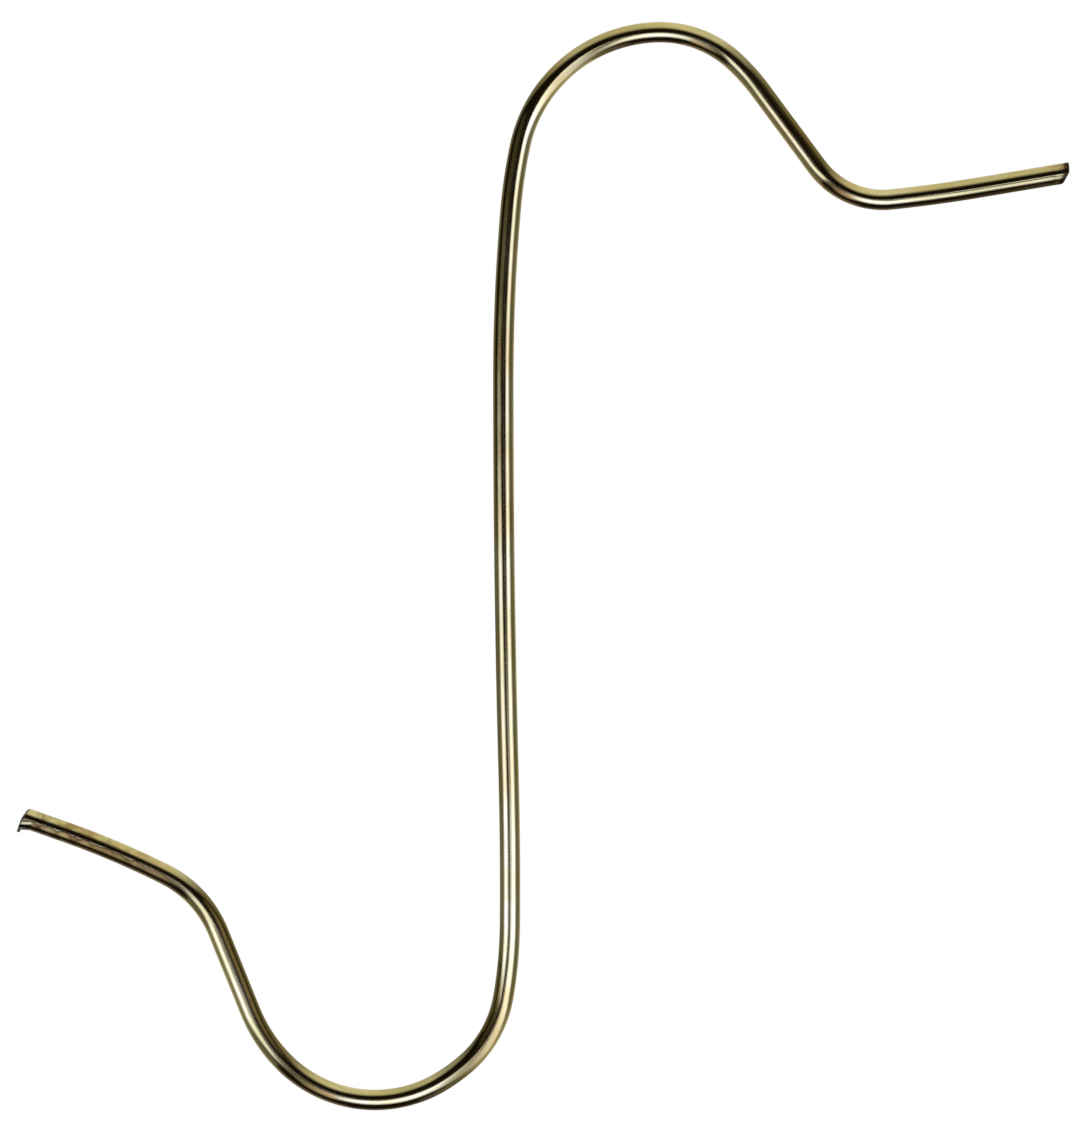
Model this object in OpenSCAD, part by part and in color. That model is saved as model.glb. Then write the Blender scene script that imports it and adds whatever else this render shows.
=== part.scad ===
// Ornament hook: one length of round brass wire, bent in one plane into a long S.
// The top bend goes over a branch and the bottom bend carries the ornament's loop.
// Both ends are nipped off: the branch end on a slant, the ornament end nearly square
// with a small lip of metal left standing below it.
// Frame: the origin is under the crown of the top bend, where the branch bears.
// X runs out to the branch tip, Z up along the shank, Y square to the plane of the wire.
// Radii are those of the wire's centre line, and angles are in degrees.

/* [Wire] */
// Diameter of the wire, mm
wire_diameter = 1.2; // [0.8:0.05:1.6]

/* [Branch hook, from the crown out to its tip] */
// Radius of the crown where the branch bears, mm
crown_radius = 6.3; // [5:0.1:8]
// Turn of the crown on the branch side
crown_angle = 42.5; // [35:0.5:50]
// Radius of the easy bend that runs the crown into the leg, mm
flare_radius = 12.5; // [10:0.5:16]
// Turn of that easy bend
flare_angle = 11; // [6:0.5:16]
// Length of the straight leg that comes down from the crown, mm
branch_leg = 5.5; // [4:0.1:8]
// Radius of the neck that turns the tip outward, mm
branch_neck_radius = 4.8; // [3.5:0.1:6.5]
// Turn of the neck
branch_neck_angle = 59.5; // [48:0.5:70]
// Radius of the slight sweep behind the tip, mm
branch_sweep_radius = 85; // [65:1:110]
// Turn of that sweep
branch_sweep_angle = 3.5; // [2:0.1:5]
// Length of the straight tip up to its longest corner, mm
branch_tip = 5.4; // [3:0.1:8]
// Lean of the upper half of the cut face, away from square
branch_cut_lean = 9; // [4:1:15]
// Slant of the lower half of the cut face, away from square
branch_cut_slant = 37; // [25:1:45]

/* [Shank, from the crown down] */
// Radius of the shoulder beside the crown, mm
shoulder_radius = 8.4; // [7:0.1:10]
// Turn of the shoulder
shoulder_angle = 78; // [70:0.5:84]
// Radius of the easy bend below the shoulder, mm
shoulder_ease_radius = 30; // [24:1:38]
// Turn of that easy bend
shoulder_ease_angle = 7; // [5:0.5:10]
// Radius of the long curve into the shank, mm
shank_lead_radius = 115; // [90:1:140]
// Turn of that long curve
shank_lead_angle = 5; // [3:0.5:7]
// Length of the middle of the shank, mm
shank_length = 22.85; // [15:0.05:40]
// Radius of the slight bow in the middle of the shank, mm
shank_bow_radius = 870; // [600:10:1200]
// Length of the foot of the shank, mm
shank_foot_length = 9; // [6:0.1:12]
// Radius of the slight bow back in the foot of the shank, mm
shank_foot_radius = 260; // [200:10:340]

/* [Ornament hook, from the shank out to its tip] */
// Radius of the easy bend at the bottom of the shank, mm
belly_ease_radius = 26; // [20:0.5:34]
// Turn of that easy bend
belly_ease_angle = 9.5; // [7:0.5:13]
// Radius of the first part of the bottom bend, mm
belly_entry_radius = 6.6; // [5.5:0.1:8]
// Turn of the first part of the bottom bend
belly_entry_angle = 39.5; // [32:0.5:46]
// Radius of the slack part of the bottom bend, mm
belly_slack_radius = 10.7; // [8:0.1:13]
// Turn of the slack part of the bottom bend
belly_slack_angle = 9; // [6:0.5:12]
// Radius of the bottom bend where the ornament hangs, mm
belly_radius = 7.5; // [6:0.1:9]
// Turn of the bottom bend where the ornament hangs
belly_angle = 77; // [70:0.5:84]
// Radius of the last part of the bottom bend, mm
belly_exit_radius = 9; // [7:0.1:12]
// Turn of the last part of the bottom bend
belly_exit_angle = 22.5; // [18:0.5:28]
// Length of the straight leg that comes up from the bottom bend, mm
ornament_leg = 5; // [3.5:0.1:8]
// Radius of the neck that turns the tip outward, mm
ornament_neck_radius = 6.5; // [5:0.1:8]
// Turn of the neck
ornament_neck_angle = 41.5; // [34:0.5:50]
// Radius of the slight sweep behind the tip, mm
ornament_sweep_radius = 52; // [40:1:66]
// Turn of that sweep
ornament_sweep_angle = 7; // [5:0.5:9]
// Length of the straight tip, mm
ornament_tip = 2.65; // [1.5:0.05:5]
// Lean of the pinched upper edge of the cut face, away from square
ornament_cut_lean = 13; // [6:1:20]

/* [Lip left by the cutters on the ornament tip] */
// How far the lip stands below the wire, mm
lip_reach = 0.34; // [0.2:0.02:0.5]
// Thickness of the lip at its edge, mm
lip_thickness = 0.15; // [0.1:0.01:0.25]
// Radius of the lip's rounded outline, mm
lip_radius = 0.4; // [0.3:0.02:0.5]
// Radius of the hollow behind the lip, mm
lip_hollow_radius = 0.3; // [0.2:0.02:0.4]

/* [Hidden] */
wire_radius = wire_diameter / 2;
// Block that takes away everything beyond a cut face
cut_block = 4 * wire_diameter;
// The hollow behind the lip starts this far inside the wire, so that the two run together
lip_sink = 0.03;
// Below the axis, where the pinched edge of the cut face ends
pinch_depth = wire_radius / 4;
// Each piece of wire runs this far back into the one before it, so that no joint stands open
joint_hair = 0.0000001;
degrees_per_radian = 180 / PI;
// Turns tried as the first of two
FIRST_TURNS = [for (t = [1:60]) t];

// Each piece of a form is [radius, turn] for a bend or [0, length] for a straight;
// a bend to the left of the wire's direction has a positive turn.
BRANCH_FORM = [
    [crown_radius, -crown_angle],
    [flare_radius, -flare_angle],
    [0, branch_leg],
    [branch_neck_radius, branch_neck_angle],
    [branch_sweep_radius, branch_sweep_angle]
];
SHANK_FORM = [
    [shoulder_radius, shoulder_angle],
    [shoulder_ease_radius, shoulder_ease_angle],
    [shank_lead_radius, shank_lead_angle],
    [shank_bow_radius, turn_of(shank_length, shank_bow_radius)],
    [shank_foot_radius, -turn_of(shank_foot_length, shank_foot_radius)],
    [belly_ease_radius, -belly_ease_angle],
    [belly_entry_radius, -belly_entry_angle],
    [belly_slack_radius, -belly_slack_angle],
    [belly_radius, -belly_angle],
    [belly_exit_radius, -belly_exit_angle],
    [0, ornament_leg],
    [ornament_neck_radius, ornament_neck_angle],
    [ornament_sweep_radius, ornament_sweep_angle]
];

$fn = 48;

// Turn of a bow from the length along it, to a thousandth of a degree
function turn_of(length, radius) = round(length / radius * degrees_per_radian * 1000) / 1000;

// Where a piece of the form ends, seen from where it starts
function end_of(piece) = piece[0] == 0
    ? [piece[1], 0, 0]
    : piece[0] * [sin(abs(piece[1])), sign(piece[1]) * (1 - cos(piece[1])), 0];

// A number to six significant figures, as a placing keeps it
function kept(x) = x == 0 ? 0 : let(unit = pow(10, floor(log(abs(x))) - 5)) round(x / unit) * unit;

// Moves what follows by whole hundredths and then by the rest, so that no figure is lost
// and the pieces of wire meet face to face
module moved(v) {
    hundredths = [for (x = v) round(x * 100) / 100];
    translate(hundredths)
        translate(v - hundredths)
            children();
}

// How much larger a turn leaves what follows it, as its figures are kept
function growth(angle) = norm([kept(cos(angle)), kept(sin(angle))]);

// Which way a turn points, as its figures are kept
function pointed(angle) = atan2(kept(sin(angle)), kept(cos(angle)));

// The first of two turns that make up an angle and together leave the wire's size as it was
function first_turn(angle) = let(growths = [for (t = FIRST_TURNS) abs(growth(t) * growth(angle - t) - 1)])
    FIRST_TURNS[search(min(growths), growths)[0]];

// Turns what follows about Z
module turned_once(angle) {
    c = kept(cos(angle));
    s = kept(sin(angle));
    multmatrix([[c, -s, 0, 0], [s, c, 0, 0], [0, 0, 1, 0], [0, 0, 0, 1]])
        children();
}

// Turns what follows in two turns and then by the rest, for the same reason as it is moved
module turned(angle) {
    first = first_turn(angle);
    second = angle - first;
    turned_once(first)
        turned_once(second)
            turned_once(angle - pointed(first) - pointed(second))
                children();
}

// Moves what follows to the far end of a piece of the form, and a hair back into it
module after(piece) {
    moved(end_of(piece))
        turned(piece[0] == 0 ? 0 : piece[1])
            translate([-joint_hair, 0, 0])
                children();
}

// Straight wire along X
module straight(length) {
    rotate([0, 90, 0])
        cylinder(r = wire_radius, h = length);
}

// Wire that starts along X and turns about Z, to the left for a positive turn
module bend(radius, turn) {
    mirror([0, turn < 0 ? 1 : 0, 0])
        translate([0, radius, 0])
            rotate([0, 0, -90])
                rotate_extrude(angle = abs(turn))
                    translate([radius, 0])
                        circle(r = wire_radius);
}

// Lays the pieces of a form end to end, with the tip given as its child
module follow(form, i = 0) {
    if (i == len(form)) {
        children();
    } else {
        if (form[i][0] == 0)
            straight(form[i][1]);
        else
            bend(form[i][0], form[i][1]);
        after(form[i])
            follow(form, i + 1)
                children();
    }
}

// What lies beyond a cut face through a point, where the face leans back toward -Y
module beyond_face(x, y, lean) {
    translate([x, y, 0])
        rotate([0, 0, -lean])
            translate([0, -cut_block / 2, -cut_block / 2])
                cube(cut_block);
}

// Tip of the branch hook, nipped on a slant from above
module branch_end() {
    difference() {
        straight(branch_tip);
        beyond_face(branch_tip, wire_radius, branch_cut_lean);
        beyond_face(branch_tip - wire_radius * tan(branch_cut_lean), 0, branch_cut_slant);
    }
}

// Lip of metal that the cutters drew out below the ornament tip
module lip() {
    root = lip_thickness + lip_hollow_radius;
    difference() {
        translate([ornament_tip - root, wire_radius + lip_reach - lip_radius, 0])
            rotate([0, 90, 0])
                cylinder(r = lip_radius, h = root);
        translate([ornament_tip - root, wire_radius - lip_sink + lip_hollow_radius, -cut_block / 2])
            cylinder(r = lip_hollow_radius, h = cut_block);
    }
}

// Tip of the ornament hook, nipped nearly square
module ornament_end() {
    difference() {
        straight(ornament_tip);
        beyond_face(ornament_tip, pinch_depth, ornament_cut_lean);
    }
    lip();
}

// The whole hook, both halves laid out from the crown
module hook_wire() {
    color("goldenrod")
        translate([0, 0, wire_radius])
            rotate([90, 0, 0])
                union() {
                    follow(BRANCH_FORM)
                        branch_end();
                    rotate([0, 0, 180])
                        follow(SHANK_FORM)
                            ornament_end();
                }
}

hook_wire();
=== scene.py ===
import math
import random

import bmesh
import bpy
from mathutils import Matrix, Vector


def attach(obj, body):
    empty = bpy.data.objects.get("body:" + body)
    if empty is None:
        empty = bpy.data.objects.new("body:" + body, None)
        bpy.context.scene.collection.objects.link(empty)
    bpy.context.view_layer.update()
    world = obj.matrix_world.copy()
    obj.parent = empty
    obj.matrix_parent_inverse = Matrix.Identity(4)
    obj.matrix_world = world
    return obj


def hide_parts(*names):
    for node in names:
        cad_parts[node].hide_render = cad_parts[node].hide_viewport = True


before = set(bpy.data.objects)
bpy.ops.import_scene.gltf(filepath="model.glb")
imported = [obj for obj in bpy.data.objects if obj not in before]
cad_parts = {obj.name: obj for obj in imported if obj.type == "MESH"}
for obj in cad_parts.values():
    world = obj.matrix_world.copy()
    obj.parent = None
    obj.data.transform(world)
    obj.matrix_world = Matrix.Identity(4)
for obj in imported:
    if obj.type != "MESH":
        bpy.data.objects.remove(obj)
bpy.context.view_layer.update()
scene = bpy.context.scene
mm = 0.001
quarterTurn = math.radians(90)


# what the materials are put together from

def newMaterial(name):
    made = bpy.data.materials.new(name)
    made.use_nodes = True
    made.node_tree.nodes.clear()
    return made


def addNode(material, kind, **settings):
    node = material.node_tree.nodes.new(kind)
    for key, value in settings.items():
        setattr(node, key, value)
    return node


def link(material, fromSocket, toSocket):
    material.node_tree.links.new(fromSocket, toSocket)


def feed(material, socket, value):
    # a plain number or colour is set on the socket, and anything else is linked to it
    if isinstance(value, (int, float)):
        socket.default_value = value
    elif isinstance(value, tuple):
        socket.default_value = (*value, 1.0)
    else:
        link(material, value, socket)


def noise(material, vector, fineness, detail, roughness=0.5):
    # fineness is per metre: one number, or one for each axis
    if isinstance(fineness, tuple):
        stretch = addNode(material, "ShaderNodeMapping", vector_type="POINT")
        stretch.inputs["Scale"].default_value = fineness
        link(material, vector, stretch.inputs["Vector"])
        vector, fineness = stretch.outputs["Vector"], 1.0
    node = addNode(material, "ShaderNodeTexNoise")
    node.inputs["Scale"].default_value = fineness
    node.inputs["Detail"].default_value = detail
    node.inputs["Roughness"].default_value = roughness
    link(material, vector, node.inputs["Vector"])
    return node.outputs["Fac"]


def ramp(material, factor, stops):
    node = addNode(material, "ShaderNodeValToRGB")
    band = node.color_ramp
    while len(band.elements) < len(stops):
        band.elements.new(0.5)
    for element, (place, colour) in zip(band.elements, stops):
        element.position = place
        element.color = (*colour, 1.0)
    link(material, factor, node.inputs["Fac"])
    return node.outputs["Color"]


def fitted(material, factor, low, high, fromLow=0.3, fromHigh=0.7):
    node = addNode(material, "ShaderNodeMapRange")
    node.inputs["From Min"].default_value = fromLow
    node.inputs["From Max"].default_value = fromHigh
    node.inputs["To Min"].default_value = low
    node.inputs["To Max"].default_value = high
    link(material, factor, node.inputs["Value"])
    return node.outputs["Result"]


def maths(material, operation, first, second):
    node = addNode(material, "ShaderNodeMath", operation=operation)
    for socket, value in zip(node.inputs, (first, second)):
        feed(material, socket, value)
    return node.outputs["Value"]


def mixed(material, factor, first, second):
    node = addNode(material, "ShaderNodeMix", data_type="RGBA")
    inputs = {socket.identifier: socket for socket in node.inputs}
    outputs = {socket.identifier: socket for socket in node.outputs}
    feed(material, inputs["Factor_Float"], factor)
    feed(material, inputs["A_Color"], first)
    feed(material, inputs["B_Color"], second)
    return outputs["Result_Color"]


def bumped(material, height, strength, distance, normal=None):
    node = addNode(material, "ShaderNodeBump")
    feed(material, node.inputs["Strength"], strength)
    node.inputs["Distance"].default_value = distance
    link(material, height, node.inputs["Height"])
    if normal:
        link(material, normal, node.inputs["Normal"])
    return node.outputs["Normal"]


def between(low, high, share):
    return low + (high - low) * share


def only(items, kind):
    return [item for item in items if isinstance(item, kind)]


def joined(items, what):
    # the points, edges or faces that belong to some items, each once and always in the same order
    return list(dict.fromkeys(found for item in items for found in getattr(item, what)))


# A noise is its fineness, detail and roughness. On the wire the fineness is along it, in its plane
# and across. A fit is the least and the most that a pattern gives, and the noise that gives each.
brass = {
    "colour": (0.85, 0.73, 0.38),
    "warm": (0.76, 0.57, 0.24),
    "pale": (0.92, 0.83, 0.54),
    "toneNoise": (260.0, 4.0),
    "toneStops": (0.30, 0.50, 0.72),    # the noise at which it is warm, plain and pale
    "dulled": (0.63, 0.61, 0.25),       # greener where it has been handled
    "dulledNoise": ((420.0, 1500.0, 1500.0), 4.0, 0.6),
    "dulledFit": (0.0, 0.65, 0.47, 0.66),
    "speck": (0.42, 0.27, 0.10),
    "speckNoise": (5200.0, 2.0),
    "speckFit": (0.0, 0.5, 0.66, 0.80),
    "stain": (0.32, 0.17, 0.07),        # toward the cut ends
    "stainNoise": ((1700.0, 1500.0, 1500.0), 2.0),
    "stainFit": (0.0, 0.90, 0.43, 0.58),
    "stainEnds": (1.0, 0.0, 0.89, 0.95),    # it stops short of the cut itself
    "stainRoughness": 0.08,
    # painted dark reflection: the near-black band laid on the colour right beside the cuts
    "paintedRimShade": (0.06, 0.03, 0.01),        # right beside the cuts
    "paintedRimShadeFit": (0.92, 1.0, 0.35, 0.60),
    "paintedRimShadeRoughness": 0.22,
    "hazeNoise": ((400.0, 2500.0, 2500.0), 4.0),
    "roughness": (0.06, 0.12),
    "lineNoise": ((120.0, 9000.0, 9000.0), 3.0, 0.6),   # the fine lines left by the drawing die
    "lineRoughness": (-0.02, 0.05),
    "lineBump": (0.15, 0.004 * mm),     # strength and height
    "waveNoise": ((220.0, 500.0, 500.0), 1.0),
    "waveBump": (0.10, 0.12 * mm),
    "markNoise": ((1500.0, 300.0, 300.0), 0.0),         # where the pliers held it
    "markHeight": 0.06 * mm,
}


# "drawn" holds each point's place as if the wire were still straight: along, in plane, across.
# "worn" runs up to 1 at the cut ends, and the mask of the painted dark band (a painted reflection
# of the rim) is 1 beside the cut itself.
def brassMaterial():
    made = newMaterial("drawnBrass")
    drawn = addNode(made, "ShaderNodeAttribute", attribute_name="drawn").outputs["Vector"]
    worn = addNode(made, "ShaderNodeAttribute", attribute_name="worn").outputs["Fac"]
    paintedRimShade = addNode(made, "ShaderNodeAttribute", attribute_name="paintedRimShade").outputs["Fac"]
    place = addNode(made, "ShaderNodeTexCoord").outputs["Object"]
    bsdf = addNode(made, "ShaderNodeBsdfPrincipled")
    bsdf.inputs["Metallic"].default_value = 1.0
    out = addNode(made, "ShaderNodeOutputMaterial")

    tone = noise(made, place, *brass["toneNoise"])
    tones = (brass["warm"], brass["colour"], brass["pale"])
    colour = ramp(made, tone, tuple(zip(brass["toneStops"], tones)))
    dulled = noise(made, drawn, *brass["dulledNoise"])
    colour = mixed(made, fitted(made, dulled, *brass["dulledFit"]), colour, brass["dulled"])
    specks = noise(made, place, *brass["speckNoise"])
    colour = mixed(made, fitted(made, specks, *brass["speckFit"]), colour, brass["speck"])
    patches = noise(made, drawn, *brass["stainNoise"])
    gripped = maths(made, "MULTIPLY", worn, fitted(made, worn, *brass["stainEnds"]))
    stained = maths(made, "MULTIPLY", gripped, fitted(made, patches, *brass["stainFit"]))
    colour = mixed(made, stained, colour, brass["stain"])
    # painted dark reflection: a near-black band on the colour beside each cut, with a little more
    # roughness
    edge = maths(made, "MULTIPLY", paintedRimShade, fitted(made, patches, *brass["paintedRimShadeFit"]))
    colour = mixed(made, edge, colour, brass["paintedRimShade"])
    link(made, colour, bsdf.inputs["Base Color"])

    lines = noise(made, drawn, *brass["lineNoise"])
    haze = noise(made, drawn, *brass["hazeNoise"])
    rough = maths(made, "ADD", fitted(made, haze, *brass["roughness"]),
                  fitted(made, lines, *brass["lineRoughness"]))
    rough = maths(made, "ADD", rough, maths(made, "MULTIPLY", stained, brass["stainRoughness"]))
    rough = maths(made, "ADD", rough, maths(made, "MULTIPLY", edge, brass["paintedRimShadeRoughness"]))
    link(made, rough, bsdf.inputs["Roughness"])

    wave = noise(made, drawn, *brass["waveNoise"])
    normal = bumped(made, wave, *brass["waveBump"])
    normal = bumped(made, lines, *brass["lineBump"], normal)
    marks = noise(made, drawn, *brass["markNoise"])
    normal = bumped(made, marks, gripped, brass["markHeight"], normal)
    link(made, normal, bsdf.inputs["Normal"])
    link(made, bsdf.outputs["BSDF"], out.inputs["Surface"])
    return made


# the two cut faces were torn and dragged by the same cutters; their colours differ and are darkened
# to paint the dark reflection seen at each end
branchFace = {"colour": (0.07, 0.04, 0.015), "bright": (0.16, 0.10, 0.04)}
ornamentFace = {"colour": (0.22, 0.21, 0.16), "bright": (0.42, 0.40, 0.32)}
cutGrain = {
    "dragNoise": ((4000.0, 22000.0, 2500.0), 4.0),
    "dragBump": (0.5, 0.01 * mm),
    "roughness": (0.34, 0.55),
    "tornNoise": (9000.0, 3.0),
    "tornFit": (0.0, 1.0, 0.42, 0.66),
    "tornBump": (0.4, 0.01 * mm),
}


def cutMaterial(name, face):
    made = newMaterial(name)
    place = addNode(made, "ShaderNodeTexCoord").outputs["Object"]
    bsdf = addNode(made, "ShaderNodeBsdfPrincipled")
    bsdf.inputs["Metallic"].default_value = 1.0
    out = addNode(made, "ShaderNodeOutputMaterial")
    drag = noise(made, place, *cutGrain["dragNoise"])
    torn = noise(made, place, *cutGrain["tornNoise"])
    share = fitted(made, torn, *cutGrain["tornFit"])
    link(made, mixed(made, share, face["colour"], face["bright"]), bsdf.inputs["Base Color"])
    link(made, fitted(made, drag, *cutGrain["roughness"]), bsdf.inputs["Roughness"])
    normal = bumped(made, drag, *cutGrain["dragBump"])
    link(made, bumped(made, torn, *cutGrain["tornBump"], normal), bsdf.inputs["Normal"])
    link(made, bsdf.outputs["BSDF"], out.inputs["Surface"])
    return made


hook = {
    "wireDiameter": 1.2 * mm,
    "sides": 64,
    "ringSpacing": 0.25 * mm,
    "tipSpacing": 0.02 * mm,    # for the last stretch of each end, where the rims are rounded
    "tipStretch": 0.9 * mm,
    "tipReach": 1.08 * mm,      # points this near a tip are shaped with it and take its band of painted dark reflection
    "sharpAngle": 35.0,
    "mergeWithin": 0.0001 * mm,
    # (radius, turn) for a bend, (0, length) for a straight; both run outward from the crown
    "branchForm": ((6.3, -42.5), (12.5, -11.0), (0, 5.5), (4.8, 59.5), (85.0, 3.5), (0, 5.4)),
    "shankForm": ((8.4, 78.0), (30.0, 7.0), (115.0, 5.0), (870.0, 1.505), (260.0, -1.983),
                  (26.0, -9.5), (6.6, -39.5), (10.7, -9.0), (7.5, -77.0), (9.0, -22.5),
                  (0, 5.0), (6.5, 41.5), (52.0, 7.0), (0, 2.65)),
}
wireRadius = hook["wireDiameter"] / 2

# For both cuts: "reach" is how near a face lies to be cut, "skin" how far out a point is on the
# wire's skin and not on the cut, and "ownRim" how much of the rounded rim takes the cut's dark
# colour, a painted reflection.
# A burr grows over "burrStretch" of the wire's length and the first "burrRise" of its lower half.
cutting = {"reach": 3.6 * mm, "snap": 0.00001 * mm, "skin": 0.99 * wireRadius, "ownRim": 0.75,
           "burrStretch": 0.66 * mm, "burrRise": 0.25}
# "slot" is the cut's material, "up" which way the wire's upper side lies, "round" how far the rim
# is rounded (over the top, at the sides, below), "burr" how far the lower side is spread, "worn"
# how far the stains reach, and the last pair where the painted dark band (a painted reflection)
# beside the cut starts and ends to fade.
branchCut = {"slot": 1, "up": 1, "lean": 9.0, "slant": 37.0,
             "round": (0.10 * mm, 0.12 * mm, 0.10 * mm), "burr": 0.0,
             "worn": 1.5 * mm, "paintedRimShade": (0.26 * mm, 0.42 * mm)}
ornamentCut = {"slot": 2, "up": -1, "lean": 13.0, "pinch": 0.25 * wireRadius,
               "round": (0.20 * mm, 0.10 * mm, 0.01 * mm), "burr": 0.20 * mm,
               "worn": 10.0 * mm, "paintedRimShade": (0.05 * mm, 0.15 * mm)}


def farEnd(radius, amount):
    # where a bend or straight ends, as a placing relative to where it starts
    if radius == 0:
        return Matrix.Translation((amount * mm, 0, 0))
    side = math.copysign(radius * mm, amount)
    swing = Matrix.Rotation(math.radians(amount), 4, "Z")
    return Matrix.Translation((0, side, 0)) @ swing @ Matrix.Translation((0, -side, 0))


def layWire(bm, ring, pose, route, drawnLayer):
    # sweeps the ring along the route and notes where each new point was on the straight wire
    length = 0.0
    for radius, amount, spacing in route:
        known = set(bm.verts).difference(only(ring, bmesh.types.BMVert))
        reach = (radius * math.radians(abs(amount)) if radius else amount) * mm
        steps = max(1, round(reach / spacing))
        sign = math.copysign(1.0, amount)
        side = sign * radius * mm
        if radius == 0:
            along = pose.to_3x3() @ Vector((reach / steps, 0, 0))
            for _ in range(steps):
                edges = only(ring, bmesh.types.BMEdge)
                ring = bmesh.ops.extrude_edge_only(bm, edges=edges)["geom"]
                bmesh.ops.translate(bm, verts=only(ring, bmesh.types.BMVert), vec=along)
        else:
            grown = bmesh.ops.spin(
                bm, geom=only(ring, bmesh.types.BMEdge),
                cent=pose @ Vector((0, side, 0)), axis=pose.to_3x3() @ Vector((0, 0, 1)),
                angle=math.radians(amount), steps=steps, use_duplicate=False, use_merge=False)
            ring = grown["geom_last"]
        backToStart = pose.inverted()
        for v in bm.verts:
            if v in known:
                continue
            local = backToStart @ v.co
            if radius == 0:
                v[drawnLayer] = Vector((length + local.x, local.y, local.z))
            else:
                arm = Vector((local.x, local.y - side, 0))
                turned = math.atan2(arm.x, -sign * arm.y)
                inPlane = sign * (radius * mm - arm.length)
                v[drawnLayer] = Vector((length + radius * mm * turned, inPlane, local.z))
        length += reach
        pose = pose @ farEnd(radius, amount)
    return ring, pose, length


def capEnd(bm, ring, slot):
    bmesh.ops.edgeloop_fill(bm, edges=only(ring, bmesh.types.BMEdge), mat_nr=slot)


def nip(bm, tipPose, through, lean, slot):
    # takes off what lies beyond a face through a point of the tip's plane, leaning back toward -Y
    point = tipPose @ Vector(through)
    turn = Matrix.Rotation(math.radians(-lean), 3, "Z")
    normal = tipPose.to_3x3() @ (turn @ Vector((1, 0, 0)))
    near = [f for f in bm.faces if (f.calc_center_median() - point).length < cutting["reach"]]
    cut = bmesh.ops.bisect_plane(
        bm, geom=joined(near, "verts") + joined(near, "edges") + near, plane_co=point,
        plane_no=normal, dist=cutting["snap"], clear_outer=True)
    rim = [e for e in only(cut["geom_cut"], bmesh.types.BMEdge) if e.is_boundary]
    capEnd(bm, rim, slot)


def finishEnd(bm, tipPose, tipAt, planes, cut, layers):
    # rounds the rim of a cut end and notes the wear and the painted dark band (painted reflection)
    # round it; each plane is (x, y, lean)
    back = tipPose.inverted()
    drawnLayer, wornLayer, paintedRimShadeLayer = layers
    over, side, below = cut["round"]
    inner, outer = cut["paintedRimShade"]

    def endAt(y):
        return min(x + (y - onY) * math.tan(math.radians(lean)) for x, onY, lean in planes)

    shares = {}                         # how deep each point lies, as a share of its own rim
    for v in bm.verts:
        fromTip = abs(v[drawnLayer].x - tipAt)
        v[wornLayer] = max(v[wornLayer], 1.0 - fromTip / cut["worn"])
        if fromTip > hook["tipReach"]:
            continue
        local = back @ v.co
        out = math.hypot(local.y, local.z)
        depth = max(0.0, endAt(local.y) - local.x)
        upward = cut["up"] * local.y / out if out else 0.0
        rim = between(side, over, upward) if upward > 0 else between(side, below, -upward)
        shares[v] = depth / rim
        # the mask of the painted dark band, a painted reflection of the rim, fading out from the
        # cut
        v[paintedRimShadeLayer] = max(v[paintedRimShadeLayer], min(1.0, (outer - depth) / (outer - inner)))
        if out < cutting["skin"]:
            continue
        low = min(1.0, max(0.0, -upward) / cutting["burrRise"])
        spread = cut["burr"] * low * max(0.0, 1 - depth / cutting["burrStretch"])
        roundAt = max(0.0, 1 - shares[v])
        cutBack = rim * (1 - math.sqrt(1 - roundAt ** 2))
        if spread or cutBack:
            kept = 1 - cutBack / wireRadius
            y = local.y * kept - cut["up"] * spread
            v.co = tipPose @ Vector((endAt(y) - depth, y, local.z * kept))
    # rim faces near the cut take the cut's dark colour: painted dark reflection on the rounded rim
    for f in bm.faces:
        if all(v in shares for v in f.verts):
            if sum(shares[v] for v in f.verts) / len(f.verts) < cutting["ownRim"]:
                f.material_index = cut["slot"]


# the tongue of metal below the ornament end's cut; "sink" is how deep its root lies in the wire
lip = {"reach": 0.34 * mm, "thickness": 0.15 * mm, "radius": 0.40 * mm, "hollow": 0.30 * mm,
       "sink": 0.03 * mm, "sides": 40, "loops": 9, "ragged": (-0.010 * mm, 0.004 * mm), "seed": 7}


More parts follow.
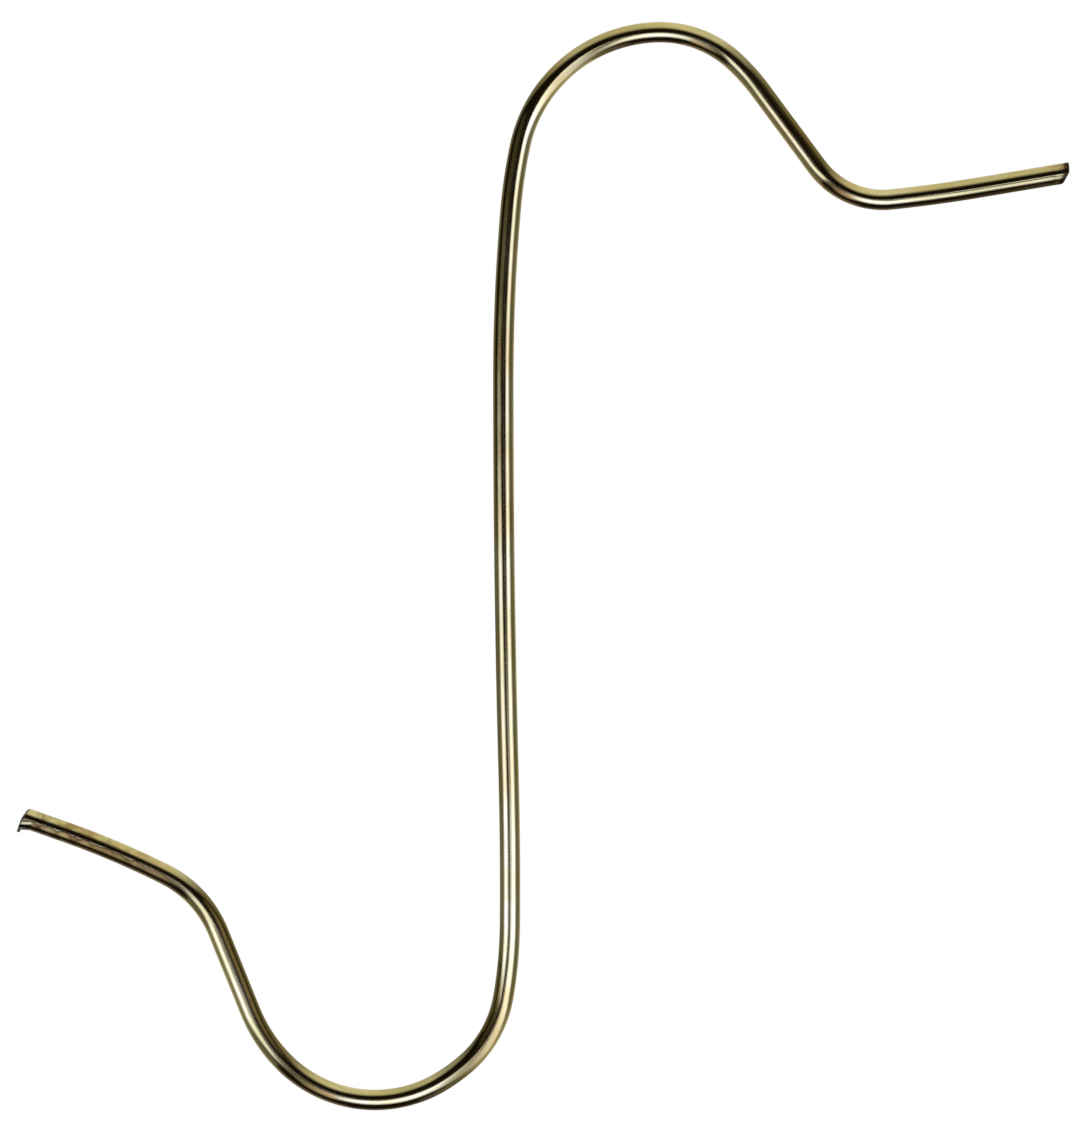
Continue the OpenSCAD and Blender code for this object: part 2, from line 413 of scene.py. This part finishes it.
def addLip(bm, tipPose, drawnLayer, wireLength):
    # the lip hangs from the lower side of the cut face, thin at its edge and hollowed behind
    chance = random.Random(lip["seed"])
    thickness, hollow, loops = lip["thickness"], lip["hollow"], lip["loops"]
    root = thickness + hollow
    centreDown = wireRadius + lip["reach"] - lip["radius"]
    hollowDown = wireRadius - lip["sink"] + hollow
    across = Matrix.Rotation(quarterTurn, 4, "Y")
    startPose = tipPose @ Matrix.Translation((0, centreDown, 0)) @ across
    loop = bmesh.ops.create_circle(bm, cap_ends=True, radius=lip["radius"], segments=lip["sides"],
                                   matrix=startPose)["verts"]
    newFaces = joined(loop, "link_faces")
    edges = joined(loop, "link_edges")
    back = tipPose.inverted()
    backward = tipPose.to_3x3() @ Vector((-1, 0, 0))
    depths = [0.0, thickness / 2, thickness]
    depths += [thickness + hollow * (1 - math.cos(quarterTurn * k / loops))
               for k in range(1, loops + 1)]

    def placeRound(v):
        # a point's number round the lip: the draws below always come in this order
        local = back @ v.co
        turned = math.atan2(local.z, local.y - centreDown) / math.tau
        return round(turned * lip["sides"]) % lip["sides"]

    for k, depth in enumerate(depths):
        if k > 0:
            grown = bmesh.ops.extrude_edge_only(bm, edges=edges)["geom"]
            loop = only(grown, bmesh.types.BMVert)
            edges = [e for e in only(grown, bmesh.types.BMEdge) if all(v in loop for v in e.verts)]
            newFaces += only(grown, bmesh.types.BMFace)
            bmesh.ops.translate(bm, verts=loop, vec=backward * (depth - depths[k - 1]))
        for v in sorted(loop, key=placeRound):
            local = back @ v.co
            if depth > thickness:
                bound = hollowDown - math.sqrt(max(0.0, hollow ** 2 - (root - depth) ** 2))
                local.y = min(local.y, bound)
            elif local.y > wireRadius:
                local.y += chance.uniform(*lip["ragged"])
            v.co = tipPose @ local
            v[drawnLayer] = Vector((wireLength - depth, local.y, local.z))
    newFaces += bmesh.ops.edgeloop_fill(bm, edges=edges)["faces"]
    for f in newFaces:
        f.material_index = ornamentCut["slot"]
    return newFaces


def inSteps(route):
    # the first and last straights end in a stretch of closer rings
    coarse, fine, stretch = hook["ringSpacing"], hook["tipSpacing"], hook["tipStretch"] / mm
    first, last = route[0][1], route[-1][1]
    steps = [(0, stretch, fine), (0, first - stretch, coarse)]
    steps += [(radius, amount, coarse) for radius, amount in route[1:-1]]
    return steps + [(0, last - stretch, coarse), (0, stretch, fine)]


def makeHook():
    bm = bmesh.new()
    drawnLayer = bm.verts.layers.float_vector.new("drawn")
    wornLayer = bm.verts.layers.float.new("worn")
    paintedRimShadeLayer = bm.verts.layers.float.new("paintedRimShade")
    branchTip = Matrix.Translation((0, 0, wireRadius)) @ Matrix.Rotation(quarterTurn, 4, "X")
    for piece in hook["branchForm"]:
        branchTip = branchTip @ farEnd(*piece)
    # one sweep: in from the branch tip to the crown, and on down the shank to the ornament tip
    route = [(radius, -amount if radius else amount)
             for radius, amount in reversed(hook["branchForm"])]
    route += hook["shankForm"]
    startPose = branchTip @ Matrix.Rotation(2 * quarterTurn, 4, "Z")
    ring = bmesh.ops.create_circle(
        bm, cap_ends=False, radius=wireRadius, segments=hook["sides"],
        matrix=startPose @ Matrix.Rotation(quarterTurn, 4, "Y"))["verts"]
    firstEdges = joined(ring, "link_edges")
    ring, endPose, wireLength = layWire(
        bm, ring + firstEdges, startPose, inSteps(route), drawnLayer)
    print("wire laid:", round(wireLength / mm, 2), "mm,", len(bm.verts), "points")

    capEnd(bm, firstEdges, branchCut["slot"])
    capEnd(bm, ring, ornamentCut["slot"])
    lean, slant, pinch = branchCut["lean"], branchCut["slant"], ornamentCut["pinch"]
    drop = wireRadius * math.tan(math.radians(lean))
    nip(bm, branchTip, (0, wireRadius, 0), lean, branchCut["slot"])
    nip(bm, branchTip, (-drop, 0, 0), slant, branchCut["slot"])
    nip(bm, endPose, (0, pinch, 0), ornamentCut["lean"], ornamentCut["slot"])
    bmesh.ops.remove_doubles(bm, verts=bm.verts[:], dist=hook["mergeWithin"])
    layers = (drawnLayer, wornLayer, paintedRimShadeLayer)
    branchPlanes = ((0, wireRadius, lean), (-drop, 0, slant))
    ornamentPlanes = ((0, 0, 0), (0, pinch, ornamentCut["lean"]))
    finishEnd(bm, branchTip, 0, branchPlanes, branchCut, layers)
    finishEnd(bm, endPose, wireLength, ornamentPlanes, ornamentCut, layers)
    lipFaces = addLip(bm, endPose, drawnLayer, wireLength)
    bmesh.ops.recalc_face_normals(bm, faces=bm.faces[:])
    bmesh.ops.triangulate(bm, faces=[f for f in bm.faces if len(f.verts) > 4])
    for f in bm.faces:
        f.smooth = True
    print("ends nipped and rounded, lip added:", len(lipFaces), "faces in the lip")

    mesh = bpy.data.meshes.new("hookWire")
    bm.to_mesh(mesh)
    bm.free()
    mesh.materials.append(brassMaterial())
    mesh.materials.append(cutMaterial("nippedBranchEnd", branchFace))
    mesh.materials.append(cutMaterial("nippedOrnamentEnd", ornamentFace))
    piece = bpy.data.objects.new("hookWire", mesh)
    scene.collection.objects.link(piece)
    mesh.set_sharp_from_angle(angle=math.radians(hook["sharpAngle"]))
    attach(piece, "root")
    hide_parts("hook_wire")


makeHook()


camera = {
    "centre": Vector((-7.05 * mm, 0, -30.365 * mm)),
    "distance": 0.60,
    "frameHeight": 65.6978 * mm,        # what the picture's height takes in at that distance
    "sensorHeight": 36.0,
    "sees": (0.01, 20.0),
}


def makeCamera():
    data = bpy.data.cameras.new("camera")
    data.sensor_fit = "VERTICAL"
    data.sensor_height = camera["sensorHeight"]
    data.lens = camera["sensorHeight"] * camera["distance"] / camera["frameHeight"]
    data.clip_start, data.clip_end = camera["sees"]
    made = bpy.data.objects.new("camera", data)
    made.location = camera["centre"] + Vector((0, -camera["distance"], 0))
    made.rotation_euler = (quarterTurn, 0, 0)
    scene.collection.objects.link(made)
    scene.camera = made


makeCamera()
print("camera placed")


daylight = 0.60         # what the world gives to everything but the white background
ground = {
    "drop": 0.75,       # how far it lies below the hook's middle
    "radius": 9.0,
    "sides": 64,
    "colour": 0.80,
    "mottle": 0.01,     # how far its colour goes either way
    "grain": (900.0, 3.0),
    "grainStops": (0.3, 0.7),
    "seenAs": 1.02,     # its colour and its glow together, as the camera sees it
}
sun = {"strength": 1.30, "spread": 30.0, "tilt": (28.0, -18.0)}


def seenWhite(material):
    # 1 for the camera and for what is mirrored or seen through, 0 for light that falls on things
    path = addNode(material, "ShaderNodeLightPath")
    seen = maths(material, "MAXIMUM", path.outputs["Is Camera Ray"], path.outputs["Is Glossy Ray"])
    return maths(material, "MAXIMUM", seen, path.outputs["Is Transmission Ray"])


def makeWorld():
    world = bpy.data.worlds.new("daylight")
    world.use_nodes = True
    world.node_tree.nodes.clear()
    background = addNode(world, "ShaderNodeBackground")
    out = addNode(world, "ShaderNodeOutputWorld")
    strength = fitted(world, seenWhite(world), daylight, 1.0, 0.0, 1.0)
    link(world, strength, background.inputs["Strength"])
    link(world, background.outputs["Background"], out.inputs["Surface"])
    background.inputs["Color"].default_value = (1, 1, 1, 1)
    scene.world = world


def makeFloor():
    bm = bmesh.new()
    at = Matrix.Translation((camera["centre"].x, 0, camera["centre"].z - ground["drop"]))
    bmesh.ops.create_circle(
        bm, cap_ends=True, radius=ground["radius"], segments=ground["sides"], matrix=at)
    mesh = bpy.data.meshes.new("floor")
    bm.to_mesh(mesh)
    bm.free()
    made = newMaterial("paleFloor")
    diffuse = addNode(made, "ShaderNodeBsdfDiffuse")
    glow = addNode(made, "ShaderNodeEmission")
    both = addNode(made, "ShaderNodeAddShader")
    out = addNode(made, "ShaderNodeOutputMaterial")
    place = addNode(made, "ShaderNodeTexCoord").outputs["Object"]
    grain = noise(made, place, *ground["grain"])
    greys = [(ground["colour"] + way * ground["mottle"],) * 3 for way in (-1, 1)]
    link(made, ramp(made, grain, tuple(zip(ground["grainStops"], greys))), diffuse.inputs["Color"])
    strength = maths(made, "MULTIPLY", seenWhite(made), ground["seenAs"] - ground["colour"])
    link(made, strength, glow.inputs["Strength"])
    link(made, diffuse.outputs["BSDF"], both.inputs[0])
    link(made, glow.outputs["Emission"], both.inputs[1])
    link(made, both.outputs["Shader"], out.inputs["Surface"])
    mesh.materials.append(made)
    floor = bpy.data.objects.new("floor", mesh)
    scene.collection.objects.link(floor)


def makeSun():
    data = bpy.data.lights.new("softSun", "SUN")
    data.energy = sun["strength"]
    data.angle = math.radians(sun["spread"])
    made = bpy.data.objects.new("softSun", data)
    tiltX, tiltY = sun["tilt"]
    made.rotation_euler = (math.radians(tiltX), math.radians(tiltY), 0)
    made.visible_glossy = False         # the metal mirrors the tent, not the sun
    scene.collection.objects.link(made)


# The tent stands round the hook and is what the polished wire mirrors. Its cloth is dark, and
# strips of lit cloth hang inside it. A strip is given by stations, each (round, near, far, light,
# tint): "round" is the angle about the camera's axis, 0 on the right and 90 above, and "near" and
# "far" are how far off that axis the strip's two long edges lie. "soft" is the width over which
# each of them fades out. Each strip hangs a little nearer than the one before.
tints = {
    "sky": (1.0, 1.08, 1.60),
    "haze": (1.0, 1.06, 1.38),
    "pink": (1.0, 0.90, 1.08),
    "brown": (1.0, 0.86, 0.80),
    "straw": (1.0, 0.98, 0.80),
    "olive": (1.02, 0.92, 0.55),
    "ochre": (1.02, 0.82, 0.46),
    "cloth": (1.0, 0.70, 0.40),
}
back = 172              # the far edge of the strips that run on behind the hook
tent = {
    "radius": 0.60,
    "clothRadius": 0.66,
    "apart": 0.008,
    "step": 3.0,        # degrees between a strip's points
    "cloth": {"soft": (0, 0), "stations": (
        (0, 0, back, 0.008, "cloth"), (360, 0, back, 0.008, "cloth"))},
    "strips": {
        "roofEdge": {"soft": (50, 0), "stations": (
            (4, 92, back, 0.20, "olive"), (20, 88, back, 0.21, "olive"),
            (30, 76, back, 0.20, "olive"), (40, 54, back, 0.20, "olive"),
            (48, 46, back, 0.26, "straw"))},
        "roof": {"soft": (28, 0), "stations": (
            (46, 48, back, 0.24, "straw"), (52, 40, back, 0.36, "straw"),
            (60, 36, back, 0.58, "straw"), (70, 33, back, 0.65, "straw"),
            (80, 36, back, 0.68, "straw"), (90, 38, back, 0.65, "straw"),
            (100, 40, back, 0.59, "straw"), (110, 42, back, 0.51, "straw"),
            (122, 46, back, 0.50, "straw"), (130, 52, back, 0.33, "straw"),
            (140, 68, back, 0.17, "straw"), (150, 96, back, 0.15, "straw"),
            (160, 98, back, 0.17, "straw"), (180, 98, back, 0.20, "straw"))},
        "leftCloth": {"soft": (14, 16), "stations": (
            (150, 14, 76, 0.034, "olive"), (172, 14, 76, 0.050, "olive"))},
        "leftSill": {"soft": (14, 0), "stations": (
            (180, 66, back, 0.13, "straw"), (190, 66, back, 0.15, "straw"),
            (196, 63, back, 0.25, "straw"), (206, 60, back, 0.22, "straw"),
            (212, 58, back, 0.14, "straw"), (226, 56, back, 0.13, "straw"))},
        "lowBack": {"soft": (52, 0), "stations": (
            (226, 90, back, 0.32, "brown"), (256, 96, back, 0.30, "brown"),
            (260, 104, back, 0.20, "brown"), (288, 98, back, 0.18, "brown"))},
        "rightSill": {"soft": (14, 0), "stations": (
            (286, 76, back, 0.06, "brown"), (292, 74, back, 0.10, "brown"),
            (302, 72, back, 0.14, "olive"), (308, 70, back, 0.28, "straw"),
            (318, 70, back, 0.40, "straw"), (330, 68, back, 0.32, "straw"),
            (338, 64, back, 0.19, "straw"), (350, 58, back, 0.14, "straw"),
            (364, 54, back, 0.14, "straw"))},
        "windows": {"soft": (18, 24), "stations": (
            (168, 20, 78, 0.06, "straw"), (174, 20, 78, 0.14, "straw"),
            (178.5, 20, 78, 0.32, "straw"), (180.5, 20, 77, 1.40, "sky"),
            (200, 12, 83, 1.55, "sky"), (208, 20, 78, 1.38, "sky"),
            (213, 16, 70, 1.22, "haze"), (216, -2, 64, 1.20, "haze"),
            (224, -3, 57, 1.14, "haze"), (227, 10, 57, 0.18, "brown"),
            (232, 12, 53, 0.10, "brown"), (240, 9, 74, 0.28, "brown"),
            (250, 7, 73, 0.54, "brown"), (253, 6, 66, 0.58, "pink"),
            (256, 5, 58, 1.34, "sky"), (270, 2, 60, 1.45, "sky"),
            (282, 0, 61, 1.48, "sky"), (290, -1, 62, 1.14, "haze"),
            (297, 11, 72, 0.60, "haze"), (303, 15, 88, 0.45, "pink"),
            (310, 12, 96, 0.60, "haze"), (318, -5, 104, 0.88, "haze"),
            (326, -9, 96, 1.02, "haze"), (334, -7, 87, 1.22, "haze"),
            (341, 1, 79, 1.45, "sky"), (350, 8, 73, 1.50, "sky"),
            (360, 17, 73, 1.50, "sky"), (364, 20, 73, 1.40, "sky"),
            (366, 20, 78, 0.30, "ochre"), (372, 24, 84, 0.19, "ochre"),
            (380, 26, 84, 0.18, "ochre"), (390, 24, 80, 0.12, "ochre"),
            (398, 22, 74, 0.08, "ochre"))},
        "leftRim": {"soft": (52, 0), "stations": (
            (186, 108, back, 0.30, "straw"), (196, 108, back, 0.58, "straw"),
            (228, 108, back, 0.60, "straw"))},
        "rightRim": {"soft": (52, 0), "stations": (
            (306, 112, back, 0.58, "straw"), (364, 108, back, 0.56, "straw"))},
    },
}


def lampMaterial():
    # "glow" is the colour of the light a point gives and "fade" how much of it hides what is behind
    made = newMaterial("litCloth")
    glow = addNode(made, "ShaderNodeEmission")
    clear = addNode(made, "ShaderNodeBsdfTransparent")
    both = addNode(made, "ShaderNodeMixShader")
    out = addNode(made, "ShaderNodeOutputMaterial")
    light = addNode(made, "ShaderNodeAttribute", attribute_name="glow").outputs["Vector"]
    fade = addNode(made, "ShaderNodeAttribute", attribute_name="fade").outputs["Fac"]
    link(made, light, glow.inputs["Color"])
    link(made, fade, both.inputs["Fac"])
    link(made, clear.outputs["BSDF"], both.inputs[1])
    link(made, glow.outputs["Emission"], both.inputs[2])
    link(made, both.outputs["Shader"], out.inputs["Surface"])
    return made


def hangStrip(name, strip, radius, material):
    bm = bmesh.new()
    fadeLayer = bm.verts.layers.float.new("fade")
    glowLayer = bm.verts.layers.float_vector.new("glow")
    softNear, softFar = strip["soft"]
    for start, end in zip(strip["stations"], strip["stations"][1:]):
        across = max(1, round((end[0] - start[0]) / tent["step"]))
        outward = round((max(start[2], end[2]) - min(start[1], end[1])) / tent["step"])
        grid = bmesh.ops.create_grid(bm, x_segments=across, y_segments=outward, size=0.5)
        startLight, endLight = (Vector(tints[tint]) * light for *_, light, tint in (start, end))
        for v in grid["verts"]:
            along = v.co.x + 0.5
            around, nearEdge, farEdge = (between(start[n], end[n], along) for n in range(3))
            off = between(nearEdge, farEdge, v.co.y + 0.5)
            fade = 1.0
            if softNear:
                fade = min(fade, (off - nearEdge) / softNear)
            if softFar:
                fade = min(fade, (farEdge - off) / softFar)
            v[fadeLayer] = max(0.0, fade)
            v[glowLayer] = startLight.lerp(endLight, along)
            off, around = math.radians(off), math.radians(around)
            aside = math.sin(off)
            toward = Vector((aside * math.cos(around), -math.cos(off), aside * math.sin(around)))
            v.co = camera["centre"] + toward * radius
    mesh = bpy.data.meshes.new(name)
    bm.to_mesh(mesh)
    bm.free()
    mesh.materials.append(material)
    made = bpy.data.objects.new(name, mesh)
    scene.collection.objects.link(made)
    for ray in ("camera", "diffuse", "transmission", "volume_scatter", "shadow"):
        setattr(made, "visible_" + ray, False)


makeWorld()
makeFloor()
makeSun()
litCloth = lampMaterial()
hangStrip("cloth", tent["cloth"], tent["clothRadius"], litCloth)
for k, (name, strip) in enumerate(tent["strips"].items()):
    hangStrip(name, strip, tent["radius"] - k * tent["apart"], litCloth)
print("studio set:", len(tent["strips"]), "strips in the tent")

scene.view_settings.view_transform = "Standard"

bpy.context.view_layer.update()
